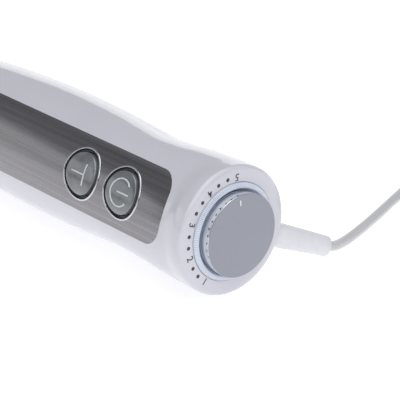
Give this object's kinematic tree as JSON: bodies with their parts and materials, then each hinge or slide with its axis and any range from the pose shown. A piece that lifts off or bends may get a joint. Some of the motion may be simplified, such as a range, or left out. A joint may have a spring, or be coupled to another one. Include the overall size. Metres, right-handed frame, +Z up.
{
  "type": "hand blender",
  "caption": "Mains hand blender with speed dial, two push buttons, brushed steel front strip and a twist-off steel blending foot with a bell guard and blade",
  "frame": {"origin": "centre of the bottom of the blender's bounding box, on the table it lies on, measured without the cord", "axes": "+X along the handle from the blade to the speed dial, +Y towards the side where the cord leaves, +Z up from the table"},
  "size_m": [0.4336, 0.2471, 0.0672],
  "materials": {
    "white_gloss": "polished white with a faint lilac cast",
    "panel_steel": "brushed along the handle",
    "foot_steel": "polished stainless",
    "bezel_chrome": "bright plated",
    "dark_rubber": "dark navy",
    "button_silver": "clear lacquer on silver",
    "knob_grey": "satin grey top, bright side",
    "skirt_ice": "pale blue-grey, translucent",
    "sleeve_white": "milky, slightly translucent",
    "cord_white": "white PVC flex",
    "tie_dark": "black tie",
    "board_green": "lacquered circuit board",
    "black_plastic": "moulded",
    "nylon_white": "natural nylon",
    "shaft_steel": "ground",
    "aluminium_plain": "extruded",
    "core_steel": "stamped laminations",
    "copper_wire": "enamelled copper",
    "bush_bronze": "sintered bronze",
    "carbon": "carbon block"
  },
  "bodies": {
    "handle": {"front_shell": "white_gloss", "rear_shell": "white_gloss", "end_cap": "white_gloss", "bayonet_collar": "white_gloss", "steel_panel": "panel_steel", "power_bezel": "bezel_chrome", "turbo_bezel": "bezel_chrome", "power_seal": "dark_rubber", "turbo_seal": "dark_rubber", "upper_mount_ring": "dark_rubber", "lower_mount_ring": "dark_rubber", "strain_relief": "sleeve_white", "power_cord": "cord_white", "cord_coil": "cord_white", "mains_plug": "cord_white", "cord_tie": "tie_dark", "control_board": "board_green", "power_switch": "black_plastic", "turbo_switch": "black_plastic", "terminal_block": "black_plastic", "speed_potentiometer": "black_plastic", "cord_clamp": "black_plastic", "upper_bracket": "black_plastic", "lower_bracket": "black_plastic", "suppressor_capacitor": "nylon_white", "upper_bearing": "shaft_steel", "lower_bearing": "shaft_steel", "casing_screws": "shaft_steel", "clamp_screws": "shaft_steel", "potentiometer_nut": "shaft_steel", "plug_pins": "shaft_steel", "triac_heatsink": "aluminium_plain", "stator_core": "core_steel", "field_coils": "copper_wire", "brush_holders": "bush_bronze", "carbon_brushes": "carbon"},
    "power_button": {"power_button": "button_silver"},
    "turbo_button": {"turbo_button": "button_silver"},
    "power_switch_pin": {"power_switch_pin": "nylon_white"},
    "turbo_switch_pin": {"turbo_switch_pin": "nylon_white"},
    "dial": {"speed_knob": "knob_grey", "knob_skirt": "skirt_ice", "potentiometer_shaft": "shaft_steel"},
    "drive": {"motor_shaft": "shaft_steel", "armature_core": "core_steel", "armature_winding": "copper_wire", "commutator": "copper_wire", "cooling_fan": "black_plastic", "drive_dog": "black_plastic", "shaft_socket": "black_plastic", "foot_shaft": "shaft_steel", "blade_hub": "foot_steel", "blade_nut": "foot_steel", "blade": "foot_steel"},
    "foot": {"foot_collar": "white_gloss", "foot_tube": "foot_steel", "bell_guard": "foot_steel", "upper_bush": "bush_bronze", "lower_bush": "bush_bronze", "shaft_seal": "dark_rubber"}
  },
  "joints": [
    {"name": "power_press", "type": "slide", "parent": "handle", "child": "power_button", "axis": [0, 0.9135, -0.4067], "range_m": [0, 0.0018], "stiffness_N_per_m": 400, "springref_m": -0.003},
    {"name": "power_pin_slide", "type": "slide", "parent": "handle", "child": "power_switch_pin", "axis": [0, 0.9135, -0.4067], "range_m": [0, 0.0018]},
    {"name": "turbo_press", "type": "slide", "parent": "handle", "child": "turbo_button", "axis": [0, 0.9135, -0.4067], "range_m": [0, 0.0018], "stiffness_N_per_m": 400, "springref_m": -0.003},
    {"name": "turbo_pin_slide", "type": "slide", "parent": "handle", "child": "turbo_switch_pin", "axis": [0, 0.9135, -0.4067], "range_m": [0, 0.0018]},
    {"name": "dial_turn", "type": "hinge", "parent": "handle", "child": "dial", "pos_m": [0, 0, 0.0336], "axis": [1, 0, 0], "range_deg": [-8.5, 136.5]},
    {"name": "drive_spin", "type": "hinge", "parent": "handle", "child": "drive", "pos_m": [0, 0, 0.0336], "axis": [1, 0, 0], "continuous": true},
    {"name": "foot_twist", "type": "hinge", "parent": "handle", "child": "foot", "pos_m": [0, 0, 0.0336], "axis": [1, 0, 0], "range_deg": [0, 30]}
  ],
  "couplings": [
    {"joint": "power_pin_slide", "follows": "power_press", "ratio": 1},
    {"joint": "turbo_pin_slide", "follows": "turbo_press", "ratio": 1}
  ]
}
